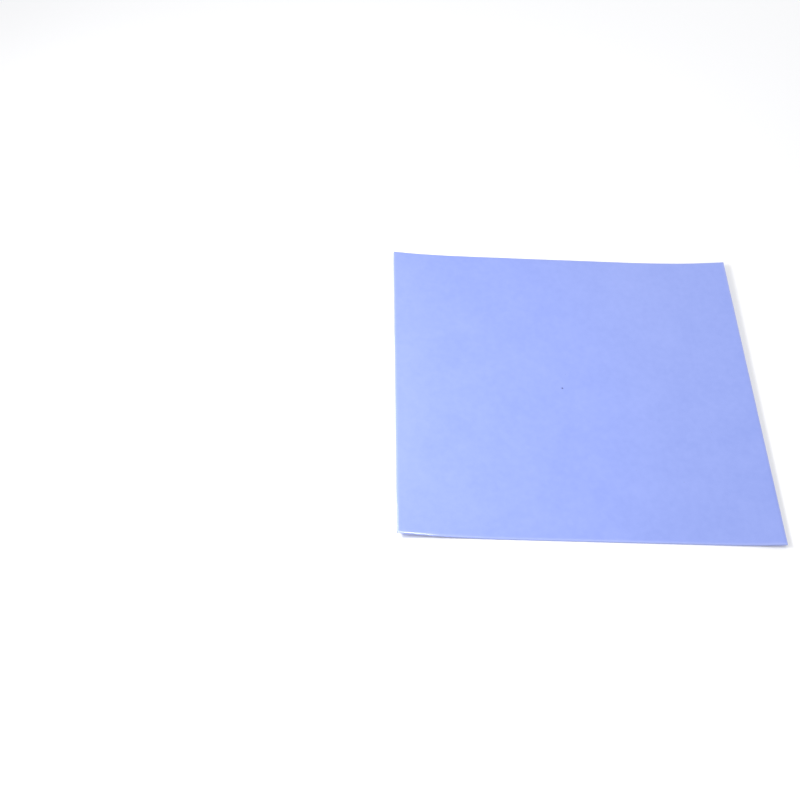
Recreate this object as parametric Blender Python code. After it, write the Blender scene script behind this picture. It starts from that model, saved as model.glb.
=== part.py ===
# A thermal pad sheet: one square cut of soft silicone gel filled with ceramic powder,
# as it is sold for trimming to size and laying between a chip and its heatsink.
# Metres, +Z up. The origin is on the floor under the middle of the sheet.
# +X runs along the front edge and +Y towards the back edge.

from math import radians, tan

import bmesh
import bpy

SHEET_WIDTH = 0.100  # along X
SHEET_DEPTH = 0.100  # along Y
SHEET_THICKNESS = 0.0005
CUT_EDGE_ROUND = 0.0001  # radius that the knife leaves on the soft rim and corners

# The sheet keeps a slight curl. A band across its middle lies flat on the floor,
# and the sides rise from it towards the left and right edges.
CURL_RADIUS = 0.170  # what the curl would be if the sheet weighed nothing
FLAT_BAND_WIDTH = 0.040  # along X
FLAT_BAND_CENTRE_X = 0.0  # halfway from front to back
FLAT_BAND_TURN = radians(6.0)  # anticlockwise from the side edges, seen from above

RISE_STEPS = 12  # faces across each rising side
DEPTH_STEPS = 10  # faces from front to back
ROUND_STEPS = 2  # faces round the cut edge
SHARP_ANGLE = radians(50.0)  # only the rim and the corners are sharper than this

PAD_BLUE = (0.36, 0.44, 0.86, 1.0)
PAD_ROUGHNESS = 0.35


def clear_scene():
    for old in list(bpy.data.objects):
        bpy.data.objects.remove(old, do_unlink=True)


def silicone_material():
    material = bpy.data.materials.new("pad_silicone")
    material.use_nodes = True
    shader = material.node_tree.nodes["Principled BSDF"]
    shader.inputs["Base Color"].default_value = PAD_BLUE
    shader.inputs["Roughness"].default_value = PAD_ROUGHNESS
    shader.inputs["Metallic"].default_value = 0.0
    return material


def band_side_x(side, y):
    # side is -1 for the band's left side and 1 for its right side
    return FLAT_BAND_CENTRE_X + side * FLAT_BAND_WIDTH / 2 - y * tan(FLAT_BAND_TURN)


def rise(share, rising_width):
    # Height of the underside at a share of the way from the flat band to the sheet's edge.
    # Its weight unrolls the sheet: the bend grows from none at the band to 1 / CURL_RADIUS
    # at the free edge as 1 - (1 - share)^2, and this is that bend added up twice.
    edge_height = rising_width ** 2 / (4 * CURL_RADIUS)
    return edge_height * share ** 3 * (4 - share) / 3


def underside_point(column, y):
    # Columns count from the left edge, across the rising side, then the flat band as one
    # step, then the other rising side
    side = -1 if column <= RISE_STEPS else 1
    steps_past_band = RISE_STEPS - column if side < 0 else column - RISE_STEPS - 1
    share = steps_past_band / RISE_STEPS
    band_x = band_side_x(side, y)
    rising_width = SHEET_WIDTH / 2 - side * band_x
    return (band_x + side * share * rising_width, y, rise(share, rising_width))


def underside_mesh():
    columns = 2 * RISE_STEPS + 1
    half_width = SHEET_WIDTH / 2
    bm = bmesh.new()
    bmesh.ops.create_grid(bm, x_segments=columns, y_segments=DEPTH_STEPS, size=half_width)
    for vertex in bm.verts:
        column = round((vertex.co.x + half_width) / SHEET_WIDTH * columns)
        y = vertex.co.y / SHEET_WIDTH * SHEET_DEPTH
        vertex.co = underside_point(column, y)
    mesh = bpy.data.meshes.new("pad_sheet")
    bm.to_mesh(mesh)
    bm.free()
    return mesh


def give_thickness(sheet):
    thickness = sheet.modifiers.new("thickness", "SOLIDIFY")
    thickness.thickness = SHEET_THICKNESS
    thickness.offset = 1.0
    thickness.use_even_offset = True


def round_cut_edges(sheet):
    rounding = sheet.modifiers.new("cut_edge_round", "BEVEL")
    rounding.width = CUT_EDGE_ROUND
    rounding.segments = ROUND_STEPS
    rounding.limit_method = "ANGLE"
    rounding.angle_limit = SHARP_ANGLE


def pad_sheet():
    sheet = bpy.data.objects.new("pad_sheet", underside_mesh())
    bpy.context.scene.collection.objects.link(sheet)
    sheet.data.materials.append(silicone_material())
    sheet.data.shade_smooth()
    give_thickness(sheet)
    round_cut_edges(sheet)
    return sheet


clear_scene()
pad_sheet()
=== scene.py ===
from math import pi, radians

import bpy
from mathutils import Matrix, Vector


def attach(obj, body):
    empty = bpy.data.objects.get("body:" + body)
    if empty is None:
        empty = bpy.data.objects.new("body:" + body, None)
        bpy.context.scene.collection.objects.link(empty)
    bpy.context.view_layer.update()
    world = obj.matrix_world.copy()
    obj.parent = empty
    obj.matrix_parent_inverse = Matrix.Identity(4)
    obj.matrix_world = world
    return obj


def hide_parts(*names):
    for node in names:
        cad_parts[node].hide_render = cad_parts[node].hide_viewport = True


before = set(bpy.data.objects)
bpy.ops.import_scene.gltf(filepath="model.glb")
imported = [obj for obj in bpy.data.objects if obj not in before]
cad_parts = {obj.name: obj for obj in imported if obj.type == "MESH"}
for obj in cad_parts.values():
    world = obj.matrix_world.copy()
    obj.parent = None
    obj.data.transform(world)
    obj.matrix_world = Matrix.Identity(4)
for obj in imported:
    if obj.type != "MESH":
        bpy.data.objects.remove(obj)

print("thermal pad sheet: frame loaded")
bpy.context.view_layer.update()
mm = 0.001


# Small helpers for building node trees

def plug(tree, value, slot):
    # a field or a socket is linked, anything else is typed into the slot
    source = value.socket if isinstance(value, Field) else value
    if isinstance(source, bpy.types.NodeSocket):
        tree.links.new(source, slot)
    else:
        slot.default_value = source


def addNode(tree, kind, feeds=None, **settings):
    node = tree.nodes.new(kind)
    for name, value in settings.items():
        setattr(node, name, value)
    for name, value in (feeds or {}).items():
        plug(tree, value, node.inputs[name])
    return node


class Field:
    # a number on a socket, written in sums as usual: each step becomes one Math node
    def __init__(self, tree, socket):
        self.tree = tree
        self.socket = socket

    def math(self, operation, *values):
        node = addNode(self.tree, "ShaderNodeMath", operation=operation)
        for slot, value in zip(node.inputs, values):
            plug(self.tree, value, slot)
        return Field(self.tree, node.outputs[0])

    def __add__(self, other):
        return self.math("ADD", self, other)

    def __sub__(self, other):
        return self.math("SUBTRACT", self, other)

    def __mul__(self, other):
        return self.math("MULTIPLY", self, other)

    def __truediv__(self, other):
        return self.math("DIVIDE", self, other)

    def __pow__(self, other):
        return self.math("POWER", self, other)

    def __rsub__(self, other):
        return self.math("SUBTRACT", other, self)

    __radd__ = __add__
    __rmul__ = __mul__

    def __abs__(self):
        return self.math("ABSOLUTE", self)

    def sign(self):
        return self.math("SIGN", self)

    def clamp(self, low, high):
        return self.math("MINIMUM", self.math("MAXIMUM", self, low), high)

    def easeFrom(self, start, end):
        # 0 before start, 1 after end, smooth between
        node = addNode(self.tree, "ShaderNodeMapRange", interpolation_type="SMOOTHSTEP")
        for slot, value in zip(node.inputs, (self, start, end, 0.0, 1.0)):
            plug(self.tree, value, slot)
        return Field(self.tree, node.outputs[0])


def splitXyz(tree, vector):
    node = addNode(tree, "ShaderNodeSeparateXYZ", {"Vector": vector})
    return [Field(tree, socket) for socket in node.outputs]


def joinXyz(tree, x, y, z):
    return addNode(tree, "ShaderNodeCombineXYZ", {"X": x, "Y": y, "Z": z}).outputs[0]


def distance(tree, first, second):
    node = addNode(tree, "ShaderNodeVectorMath", {0: first, 1: second}, operation="DISTANCE")
    return Field(tree, node.outputs["Value"])


def noise(tree, vector, scale=1.0, detail=2.0, roughness=0.5):
    # swings about 0, mostly within 0.5 either way
    feeds = {"Vector": vector, "Scale": scale, "Detail": detail, "Roughness": roughness}
    node = addNode(tree, "ShaderNodeTexNoise", feeds)
    return Field(tree, node.outputs[0]) - 0.5


def newTree(name, kind, inputs, outputs):
    tree = bpy.data.node_groups.new(name, kind)
    for direction, sockets in (("INPUT", inputs), ("OUTPUT", outputs)):
        for socketName, socketType in sockets.items():
            tree.interface.new_socket(name=socketName, in_out=direction, socket_type=socketType)
    inside = tree.nodes.new("NodeGroupInput")
    outside = tree.nodes.new("NodeGroupOutput")
    return tree, inside.outputs, outside.inputs


# The sheet. First come the CAD sheet's own seven sizes, then what a knife, a roller and handling
# leave on soft gel, then how finely it is divided. Each value is an input of the sheet's tree.
sheetSizes = {
    "width": 100 * mm,
    "depth": 100 * mm,
    "thickness": 0.5 * mm,
    "edgeRound": 0.1 * mm,
    "curlRadius": 170 * mm,
    "flatBandWidth": 40 * mm,
    "flatBandTurn": radians(6.0),  # anticlockwise from the side edges
    "pressedRim": 0.45 * mm,  # how far in from the edge round the knife pressed the gel down
    "pressedDepth": 0.125 * mm,
    "pressedCurve": 1.08,  # 1 is a straight slope, more is steeper towards the edge
    "rimUnevenness": 0.06 * mm,
    "unevenLength": 2.2 * mm,
    "cutWander": 0.12 * mm,  # how far the cut strays from a straight line
    "wanderLength": 14 * mm,
    "wanderReach": 3 * mm,  # how far in from the edge the gel follows it
    "cutNicks": 0.05 * mm,
    "nickLength": 1.8 * mm,
    "faceRipple": 0.03 * mm,
    "rippleLength": 26 * mm,
    "innerSteps": 84,  # faces from the middle of the sheet to its rim
    "rimSteps": 5,
    "roundSteps": 4,
    "wallSteps": 2,  # faces from the middle of the cut to its round
    "seed": 4.0,  # another number gives another cut, rim and ripple
}


def stepTotal(zones):
    return sum(steps for steps, width in zones)


def spreadOut(even, zones):
    # even runs from -0.5 to 0.5 over the whole grid; zones are (steps, width) from the middle out
    count = abs(even) * (2 * stepTotal(zones))
    place = 0.0
    passed = 0
    for steps, width in zones:
        place = (count - passed).clamp(0, steps) / steps * width + place
        passed += steps
    return place * even.sign()


def roundedBlock(tree, place, halfSizes, edgeRound):
    # pulls the corners of a block in to a sphere's radius, and gives the outward direction too
    core = [p.clamp(edgeRound - half, half - edgeRound) for p, half in zip(place, halfSizes)]
    out = joinXyz(tree, *[p - c for p, c in zip(place, core)])
    unit = addNode(tree, "ShaderNodeVectorMath", {0: out}, operation="NORMALIZE").outputs[0]
    outward = splitXyz(tree, unit)
    return [c + n * edgeRound for c, n in zip(core, outward)], outward


def strayOfCut(tree, size, row, along, across, z, half):
    # how far the cut lies outside its straight line: it wanders slowly, and has small nicks
    rowsApart = 7.0  # keeps the noise of the four edges apart
    edge = across.sign() * row * rowsApart + size["seed"]
    slow = noise(tree, joinXyz(tree, along / size["wanderLength"], edge, 0.0), detail=1.0)
    quick = noise(tree, joinXyz(tree, along / size["nickLength"], edge, z / size["nickLength"]))
    near = abs(across).easeFrom(half - size["wanderReach"], half)
    nearest = abs(across).easeFrom(half - size["pressedRim"] * 2, half)
    return slow * size["cutWander"] * near + quick * size["cutNicks"] * nearest


def shareOfRim(size, across, half):
    # 0 on the face, growing to 1 at the cut
    return ((abs(across) - half) / (size["pressedRim"] + size["edgeRound"]) + 1).clamp(0, 1)


def curled(tree, size, x, y, height):
    # Past the flat band the sheet rises by risingWidth^2 / (4 * curlRadius) * t^3 * (4 - t) / 3,
    # with t from 0 to 1, as in the CAD sheet. A point keeps its height along the sheet's own normal.
    pastEdge = 1.1  # as far as t goes where the cut strays out
    turn = size["flatBandTurn"].math("TANGENT", size["flatBandTurn"])
    fromMiddle = x + y * turn
    side = fromMiddle.sign()
    risingWidth = size["width"] / 2 - size["flatBandWidth"] / 2 + side * turn * y
    t = ((abs(fromMiddle) - size["flatBandWidth"] / 2) / risingWidth).clamp(0, pastEdge)
    shape = t ** 3 * (4 - t) / 3
    steepness = t ** 2 * (3 - t) * (4 / 3)
    perCurl = risingWidth / (size["curlRadius"] * 4)
    lift = perCurl * risingWidth * shape
    slopeX = side * perCurl * steepness
    slopeY = side * turn * perCurl * (shape * 2 + steepness * (1 - t))
    return joinXyz(tree, x - height * slopeX, y - height * slopeY, lift + height)


def faceAndCut(tree, sheet, face, cut):
    # gives the cut edge a material of its own
    mostlyCut = 0.75  # faces with a higher cutShare belong to the cut
    faced = addNode(tree, "GeometryNodeSetMaterial", {"Geometry": sheet, "Material": face})
    cutShare = addNode(tree, "GeometryNodeInputNamedAttribute", {"Name": "cutShare"}, data_type="FLOAT")
    feeds = {"A": cutShare.outputs["Attribute"], "B": mostlyCut}
    isCut = addNode(tree, "FunctionNodeCompare", feeds, data_type="FLOAT", operation="GREATER_THAN")
    cutOnly = addNode(tree, "GeometryNodeSetMaterial", {
        "Geometry": faced.outputs["Geometry"], "Selection": isCut.outputs["Result"], "Material": cut})
    return cutOnly.outputs["Geometry"]


def padSheetTree():
    sockets = {name: "NodeSocketFloat" for name in sheetSizes}
    sockets |= {name: "NodeSocketInt" for name in sheetSizes if name.endswith("Steps")}
    sockets |= {"face": "NodeSocketMaterial", "cut": "NodeSocketMaterial"}
    tree, inside, outside = newTree(
        "padSheetTree", "GeometryNodeTree", sockets, {"Geometry": "NodeSocketGeometry"})
    size = {name: Field(tree, inside[name]) for name in sheetSizes}
    rim, edgeRound = size["pressedRim"], size["edgeRound"]
    halves = [size[name] / 2 for name in ("width", "depth", "thickness")]
    halfWidth, halfDepth, halfThickness = halves

    # An even block, whose faces are then spread out, most over the sheet's face and a few at its edge
    roundZone = (size["roundSteps"], edgeRound)
    zones = [[(size["innerSteps"], half - edgeRound - rim), (size["rimSteps"], rim), roundZone]
             for half in (halfWidth, halfDepth)]
    zones.append([(size["wallSteps"], halfThickness - edgeRound), roundZone])
    countX, countY, countZ = [2 * stepTotal(zone) + 1 for zone in zones]
    block = addNode(tree, "GeometryNodeMeshCube", {
        "Vertices X": countX, "Vertices Y": countY, "Vertices Z": countZ})
    even = splitXyz(tree, addNode(tree, "GeometryNodeInputPosition").outputs["Position"])
    place = [spreadOut(share, zone) for share, zone in zip(even, zones)]
    (x, y, z), (outX, outY, outZ) = roundedBlock(tree, place, halves, edgeRound)

    # The cut strays, and its upper rim is pressed down unevenly
    movedX = x + x.sign() * strayOfCut(tree, size, row=1, along=y, across=x, z=z, half=halfWidth)
    movedY = y + y.sign() * strayOfCut(tree, size, row=2, along=x, across=y, z=z, half=halfDepth)
    rimX, rimY = shareOfRim(size, x, halfWidth), shareOfRim(size, y, halfDepth)
    rimShare = rimX.math("MAXIMUM", rimX, rimY)
    upperShare = z / size["thickness"] + 0.5
    uneven, ripple = [
        noise(tree, joinXyz(tree, x / size[length], y / size[length], size["seed"])) * size[swing]
        for length, swing in (("unevenLength", "rimUnevenness"), ("rippleLength", "faceRipple"))]
    pressed = rimShare ** size["pressedCurve"] * size["pressedDepth"] + rimShare * uneven
    height = z + halfThickness + upperShare * (ripple - pressed)

    # What the materials need to know of a point: how far it is on the cut, the rim and the upper face
    cutShare = (outX * outX + outY * outY) ** 0.5
    sheet = block.outputs["Mesh"]
    for name, value in (("cutShare", cutShare), ("rimShare", rimShare), ("upperShare", upperShare)):
        feeds = {"Geometry": sheet, "Name": name, "Value": value}
        sheet = addNode(tree, "GeometryNodeStoreNamedAttribute", feeds, data_type="FLOAT",
                        domain="POINT").outputs["Geometry"]
    curledPlace = curled(tree, size, movedX, movedY, height)
    shaped = addNode(tree, "GeometryNodeSetPosition", {"Geometry": sheet, "Position": curledPlace})
    smooth = addNode(tree, "GeometryNodeSetShadeSmooth", {"Geometry": shaped.outputs["Geometry"]})
    real = addNode(tree, "GeometryNodeRealizeInstances", {"Geometry": smooth.outputs["Geometry"]})
    finished = faceAndCut(tree, real.outputs["Geometry"], inside["face"], inside["cut"])
    tree.links.new(finished, outside["Geometry"])
    return tree


def builtFrom(tree, name, values):
    # runs a geometry tree once and keeps its result as a plain mesh object
    carrier = bpy.data.objects.new(name + "Carrier", bpy.data.meshes.new(name + "Carrier"))
    bpy.context.scene.collection.objects.link(carrier)
    modifier = carrier.modifiers.new(name, "NODES")
    modifier.node_group = tree
    for item in tree.interface.items_tree:
        if item.item_type == "SOCKET" and item.in_out == "INPUT":
            modifier[item.identifier] = values[item.name]
    carrier.update_tag()
    evaluated = carrier.evaluated_get(bpy.context.evaluated_depsgraph_get())
    mesh = bpy.data.meshes.new_from_object(evaluated)
    carrier.modifiers.remove(modifier)
    bpy.data.objects.remove(carrier, do_unlink=True)
    mesh.materials.pop(index=0)  # the empty slot that the block came with
    mesh.name = name
    piece = bpy.data.objects.new(name, mesh)
    bpy.context.scene.collection.objects.link(piece)
    return piece


# The gel: powder filled silicone, satin where it was cast against film, matt where it was cut,
# and smeared smooth along the rim that the blade pressed
gelLook = {
    "deepBlue": (0.244, 0.320, 0.756, 1.0),
    "paleBlue": (0.294, 0.371, 0.812, 1.0),
    # painted highlight: the paler colour painted along the rim, standing in for the light line its edge
    # catches
    "rimHighlightBlue": (0.420, 0.490, 0.850, 1.0),
    "powderBlue": (0.350, 0.420, 0.770, 1.0),  # powder laid open by the knife
    "speckBlue": (0.090, 0.120, 0.330, 1.0),
    "rimHighlightShare": 0.6,  # painted highlight: share of the paler rim colour right at the cut
    "leftSheenPaint": 0.32,  # painted sheen: how much paler the face is painted at its left edge, standing in for the brighter light there
    "leftSheenWidth": 17 * mm,
    "cloudSize": 13 * mm,
    "mottleSize": 1.9 * mm,
    "grainSize": 0.16 * mm,
    "grainHeight": 0.004 * mm,
    "faceRoughness": 0.36,
    "toneSwing": 0.05,  # how far the tone and the grain swing the face's roughness
    "grainSwing": 0.06,
    "smearedFrom": 0.1,  # share of the rim from which it turns smooth, and where it is smooth
    "smearedBy": 0.7,
    "rimRoughness": 0.34,
    "rubbedRoughness": 0.10,  # at the front left corner, where the rim has a glint
    "rubbedCorner": (-50 * mm, -50 * mm, 0.0),
    "rubbedReach": 11 * mm,
    "rubbedFade": 0.75,  # share of its reach past which it fades
    "powderFrom": (0.4, 0.3, 0.4),  # how strongly tone, grain and knife lines show in powderBlue
    "cutRoughness": 0.60,
    "cutGrainSwing": 0.12,
    "cutGrainHeight": 0.008 * mm,
    "knifeLineWidth": 0.25 * mm,
    "knifeLineLength": 1.6 * mm,
    "knifeLineHeight": 0.02 * mm,
    "speckCore": 0.35,  # a speck fades between these two shares of its radius
    "speckHalo": 1.15,
    "speckDepth": 0.4,  # share of its radius, times how dark it is
}
# Pinholes and coarse grains in the face, as (x, y, radius, how dark)
specks = [
    (-3.45 * mm, -0.2 * mm, 0.30 * mm, 0.97),
    (-2.2 * mm, 4.9 * mm, 0.20 * mm, 0.22),
    (-9.4 * mm, 2.4 * mm, 0.18 * mm, 0.18),
    (36.2 * mm, -14.1 * mm, 0.20 * mm, 0.20),
    (13.8 * mm, -27.5 * mm, 0.18 * mm, 0.18),
    (26.2 * mm, -30.9 * mm, 0.20 * mm, 0.20),
]


def fillerGrainGroup():
    # broad clouds, mottle and fine powder grain, which the face and the cut edge share
    toneOf = {"cloudSize": 0.9, "mottleSize": 0.9, "grainSize": 0.5}  # how strongly each one shows
    grainContrast = 1.6
    fineness = 0.6  # strength of each noise's finer octaves
    tree, inside, outside = newTree(
        "fillerGrain", "ShaderNodeTree",
        {"Vector": "NodeSocketVector"} | {name: "NodeSocketFloat" for name in toneOf},
        {"tone": "NodeSocketFloat", "grain": "NodeSocketFloat"})
    swings = {name: noise(tree, inside["Vector"], Field(tree, inside[name]) ** -1, roughness=fineness)
              for name in toneOf}
    tone = sum(swings[name] * strength for name, strength in toneOf.items()) + 0.5
    plug(tree, tone.clamp(0, 1), outside["tone"])
    plug(tree, (swings["grainSize"] * grainContrast + 0.5).clamp(0, 1), outside["grain"])
    return tree


def mixColour(tree, share, first, second):
    node = addNode(tree, "ShaderNodeMix", data_type="RGBA")
    # its colour sockets are the 7th and 8th going in and the 3rd coming out
    for slot, value in ((node.inputs[0], share), (node.inputs[6], first), (node.inputs[7], second)):
        plug(tree, value, slot)
    return node.outputs[2]


def newMaterial(name):
    material = bpy.data.materials.new(name)
    material.use_nodes = True
    return material, material.node_tree, material.node_tree.nodes["Principled BSDF"]


def gelFields(tree, grainGroup):
    # where a point is, and the gel's tone and grain there
    where = addNode(tree, "ShaderNodeTexCoord").outputs["Object"]
    feeds = {name: gelLook[name] for name in ("cloudSize", "mottleSize", "grainSize")}
    grainNode = addNode(tree, "ShaderNodeGroup", node_tree=grainGroup)
    for name, value in ({"Vector": where} | feeds).items():
        plug(tree, value, grainNode.inputs[name])
    tone, grain = [Field(tree, grainNode.outputs[name]) for name in ("tone", "grain")]
    return where, tone, grain


def attribute(tree, name):
    return Field(tree, addNode(tree, "ShaderNodeAttribute", attribute_name=name).outputs["Fac"])


def addBump(tree, shader, height):
    # height is in metres
    bump = addNode(tree, "ShaderNodeBump", {"Height": height, "Distance": 1.0, "Strength": 1.0})
    tree.links.new(bump.outputs["Normal"], shader.inputs["Normal"])


def speckFields(tree, flat, upperShare):
    # how much of a point is speck, and how deep its pit is
    share, depth = 0.0, 0.0
    for centreX, centreY, radius, darkness in specks:
        apart = distance(tree, flat, (centreX, centreY, 0.0))
        outOfIt = apart.easeFrom(radius * gelLook["speckCore"], radius * gelLook["speckHalo"])
        inSpeck = (1 - outOfIt) * upperShare
        share = inSpeck * darkness + share
        depth = inSpeck * radius * darkness * gelLook["speckDepth"] + depth
    return share, depth


def padFaceMaterial(grainGroup):
    material, tree, shader = newMaterial("padFace")
    where, tone, grain = gelFields(tree, grainGroup)
    x, y = splitXyz(tree, where)[:2]
    flat = joinXyz(tree, x, y, 0.0)
    rimShare = attribute(tree, "rimShare")
    speckShare, pitDepth = speckFields(tree, flat, attribute(tree, "upperShare"))

    leftEdge = -sheetSizes["width"] / 2
    # painted sheen: the face is painted paler towards its left edge, where the light falls brighter
    leftSheen = 1 - x.easeFrom(leftEdge, leftEdge + gelLook["leftSheenWidth"])
    pale = (tone + leftSheen * gelLook["leftSheenPaint"]).clamp(0, 1)
    colour = mixColour(tree, pale, gelLook["deepBlue"], gelLook["paleBlue"])
    # painted highlight: the rim is painted paler, most strongly at the cut
    colour = mixColour(tree, rimShare ** 2 * gelLook["rimHighlightShare"], colour, gelLook["rimHighlightBlue"])
    plug(tree, mixColour(tree, speckShare, colour, gelLook["speckBlue"]), shader.inputs["Base Color"])

    swing = (tone - 0.5) * gelLook["toneSwing"] + (grain - 0.5) * gelLook["grainSwing"]
    matt = swing + gelLook["faceRoughness"]
    smeared = rimShare.easeFrom(gelLook["smearedFrom"], gelLook["smearedBy"])
    reach = gelLook["rubbedReach"]
    fromCorner = distance(tree, flat, gelLook["rubbedCorner"])
    rubbed = 1 - fromCorner.easeFrom(reach * gelLook["rubbedFade"], reach)
    rimMatt = gelLook["rimRoughness"] - rubbed * (gelLook["rimRoughness"] - gelLook["rubbedRoughness"])
    plug(tree, matt * (1 - smeared) + smeared * rimMatt, shader.inputs["Roughness"])
    addBump(tree, shader, grain * gelLook["grainHeight"] * (1 - smeared) - pitDepth)
    return material


def padCutMaterial(grainGroup):
    material, tree, shader = newMaterial("padCutEdge")
    where, tone, grain = gelFields(tree, grainGroup)
    x, y, z = splitXyz(tree, where)
    acrossLines, alongLines = gelLook["knifeLineWidth"], gelLook["knifeLineLength"]
    knifeLines = noise(tree, joinXyz(tree, x / acrossLines, y / acrossLines, z / alongLines)) + 0.5
    ofTone, ofGrain, ofLines = gelLook["powderFrom"]
    powder = (tone * ofTone + grain * ofGrain + knifeLines * ofLines).clamp(0, 1)
    colour = mixColour(tree, powder, gelLook["paleBlue"], gelLook["powderBlue"])
    plug(tree, colour, shader.inputs["Base Color"])
    matt = (grain - 0.5) * gelLook["cutGrainSwing"] + gelLook["cutRoughness"]
    plug(tree, matt, shader.inputs["Roughness"])
    addBump(tree, shader, grain * gelLook["cutGrainHeight"] + knifeLines * gelLook["knifeLineHeight"])
    return material


grainGroup = fillerGrainGroup()
padFace = padFaceMaterial(grainGroup)
padCutEdge = padCutMaterial(grainGroup)
padSheet = builtFrom(
    padSheetTree(), "pad_sheet_skin", {**sheetSizes, "face": padFace, "cut": padCutEdge})
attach(padSheet, "root")
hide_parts("pad_sheet")
print("sheet:", len(padSheet.data.polygons), "faces")


# Studio: a pale floor, a pale surround and soft lights
floorLook = {
    "halfSize": 4.0,
    "drop": 0.02 * mm,  # below the sheet's underside, which it doesn't touch
    "colour": (0.93, 0.93, 0.935, 1.0),
    "roughness": 0.75,
    "glow": 0.06,  # a table lit faintly from below, which keeps its far corners white
}
surround = {"colour": (0.98, 0.985, 1.0, 1.0), "strength": 0.64}
softLights = {
    # Azimuth is seen from above, clockwise from the back edge's direction, and roll turns the panel.
    # Angles are in degrees, the rest in metres, and radiance is a lamp's power over pi times its area.
    "leftLamp": {"azimuth": -104, "elevation": 42, "distance": 0.21, "roll": 0,
                 "size": (0.11, 0.05), "radiance": 18.0},
    "keySoftbox": {"azimuth": 26, "elevation": 34, "distance": 0.68, "roll": 0,
                   "size": (0.22, 0.21), "radiance": 2.6},
    "backPanel": {"azimuth": -20.2, "elevation": 57.2, "distance": 0.68, "roll": 0,
                  "size": (0.11, 0.06), "radiance": 9.0},
    "edgeStrip": {"azimuth": 70, "elevation": 77.3, "distance": 0.615, "roll": -20,
                  "size": (0.14, 0.038), "radiance": 30.0},
}


def makeFloor():
    half = floorLook["halfSize"]
    corners = [(x, y, -floorLook["drop"])
               for x, y in ((-half, -half), (half, -half), (half, half), (-half, half))]
    mesh = bpy.data.meshes.new("studioFloor")
    mesh.from_pydata(corners, [], [(0, 1, 2, 3)])
    floor = bpy.data.objects.new("studioFloor", mesh)
    bpy.context.scene.collection.objects.link(floor)
    material, tree, shader = newMaterial("floorPaper")
    shader.inputs["Base Color"].default_value = floorLook["colour"]
    shader.inputs["Roughness"].default_value = floorLook["roughness"]
    shader.inputs["Emission Color"].default_value = floorLook["colour"]
    shader.inputs["Emission Strength"].default_value = floorLook["glow"]
    floor.data.materials.append(material)


def makeLight(name, light):
    aside = Matrix.Rotation(-radians(light["azimuth"]), 3, "Z")
    up = Matrix.Rotation(radians(light["elevation"]), 3, "X")
    away = aside @ up @ Vector((0, 1, 0))
    lamp = bpy.data.lights.new(name, "AREA")
    lamp.shape = "RECTANGLE"
    lamp.size, lamp.size_y = light["size"]
    lamp.energy = light["radiance"] * pi * lamp.size * lamp.size_y
    holder = bpy.data.objects.new(name, lamp)
    holder.location = away * light["distance"]
    facing = away.to_track_quat("Z", "Y").to_matrix() @ Matrix.Rotation(radians(light["roll"]), 3, "Z")
    holder.rotation_euler = facing.to_euler()
    bpy.context.scene.collection.objects.link(holder)


def makeSurround():
    world = bpy.data.worlds.new("paleSurround")
    world.use_nodes = True
    background = world.node_tree.nodes["Background"]
    background.inputs["Color"].default_value = surround["colour"]
    background.inputs["Strength"].default_value = surround["strength"]
    bpy.context.scene.world = world


makeFloor()
makeSurround()
for lightName, light in softLights.items():
    makeLight(lightName, light)
bpy.context.scene.view_settings.view_transform = "Standard"
print("studio: floor, surround and", len(softLights), "lights")


# Camera: stands left of the sheet's middle and looks down on it at about 51 degrees
cameraSettings = {
    "aim": (-48.61 * mm, -5.85 * mm, 0.0),
    "distance": 352.3 * mm,
    "elevation": 51.11,
    "turn": -5.28,  # degrees anticlockwise from looking along +Y
    "roll": 5.98,
    "lens": 58.15,  # for a sensor of this width, both in millimetres
    "sensorWidth": 36.0,
    "clipStart": 10 * mm,
}


def makeCamera():
    lensData = bpy.data.cameras.new("mainCamera")
    lensData.lens = cameraSettings["lens"]
    lensData.sensor_width = cameraSettings["sensorWidth"]
    lensData.clip_start = cameraSettings["clipStart"]
    turn = Matrix.Rotation(radians(cameraSettings["turn"]), 4, "Z")
    tilt = Matrix.Rotation(radians(90 - cameraSettings["elevation"]), 4, "X")
    roll = Matrix.Rotation(radians(cameraSettings["roll"]), 4, "Z")
    facing = turn @ tilt @ roll
    place = Vector(cameraSettings["aim"]) + facing.to_3x3() @ Vector((0, 0, cameraSettings["distance"]))
    camera = bpy.data.objects.new("mainCamera", lensData)
    camera.matrix_world = Matrix.Translation(place) @ facing
    bpy.context.scene.collection.objects.link(camera)
    bpy.context.scene.camera = camera


makeCamera()
print("camera placed")
